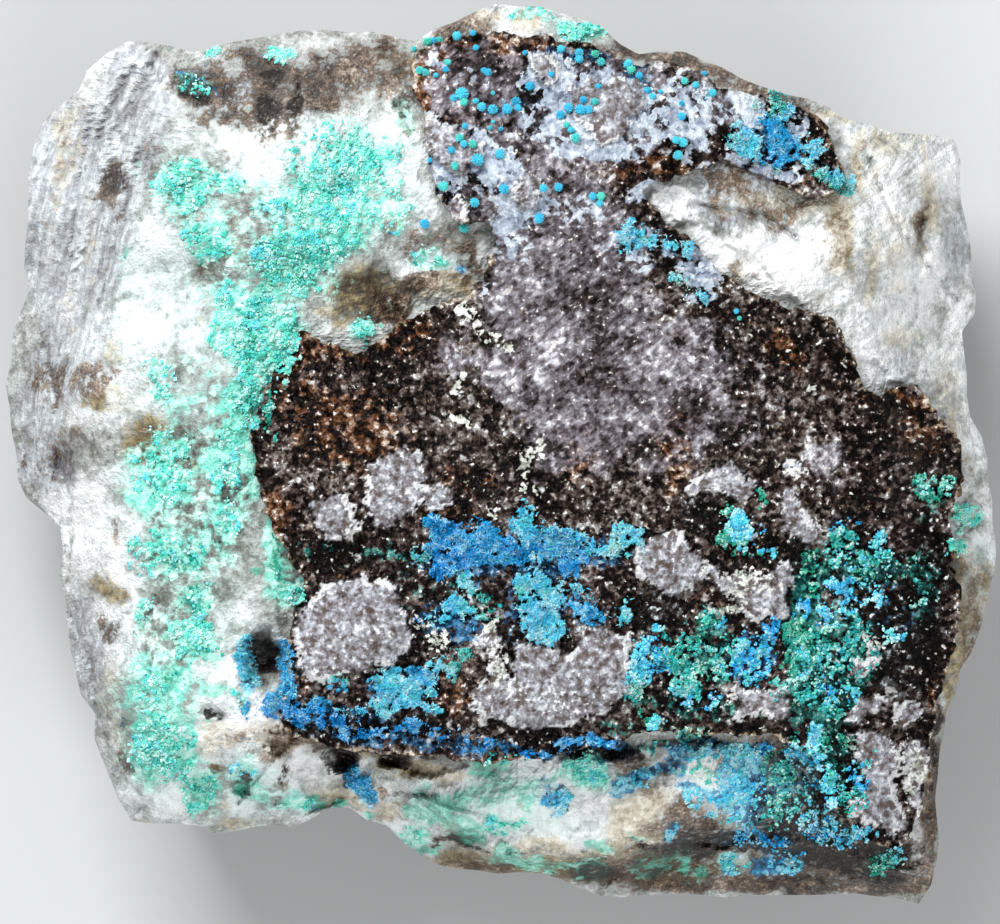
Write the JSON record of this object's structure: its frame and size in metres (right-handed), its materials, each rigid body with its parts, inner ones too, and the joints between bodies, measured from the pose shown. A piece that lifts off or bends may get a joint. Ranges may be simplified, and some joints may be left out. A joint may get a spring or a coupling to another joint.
{
  "type": "cyanotrichite specimen",
  "caption": "Hand-size mineral specimen: a broken block of vein quartz with a brown iron crust and patches of blue and green crystals.",
  "frame": {"origin": "on the flat back that the specimen lies on, under the middle of its bounding box", "axes": "+Z out of the display face, +Y towards the top edge of the face, +X towards its right edge"},
  "size_m": [0.0664, 0.0602, 0.0283],
  "materials": {
    "vein_quartz": "broken, part glassy and part granular, with grey and turquoise stains",
    "iron_oxide": "dark brown with a silky, finely scaled sheen and grey-lilac plates",
    "blue_crystals": "velvety tufts of fine needles",
    "green_crystals": "granular and velvety"
  },
  "bodies": {
    "root": {"host_rock": "vein_quartz", "iron_crust": "iron_oxide", "cyanotrichite_seam": "blue_crystals", "cyanotrichite_top_patch": "blue_crystals", "cyanotrichite_lower_patch": "blue_crystals", "cyanotrichite_hollow_patch": "blue_crystals", "green_crust_right": "green_crystals", "green_crust_middle": "green_crystals", "green_crust_left": "green_crystals"}
  },
  "joints": []
}
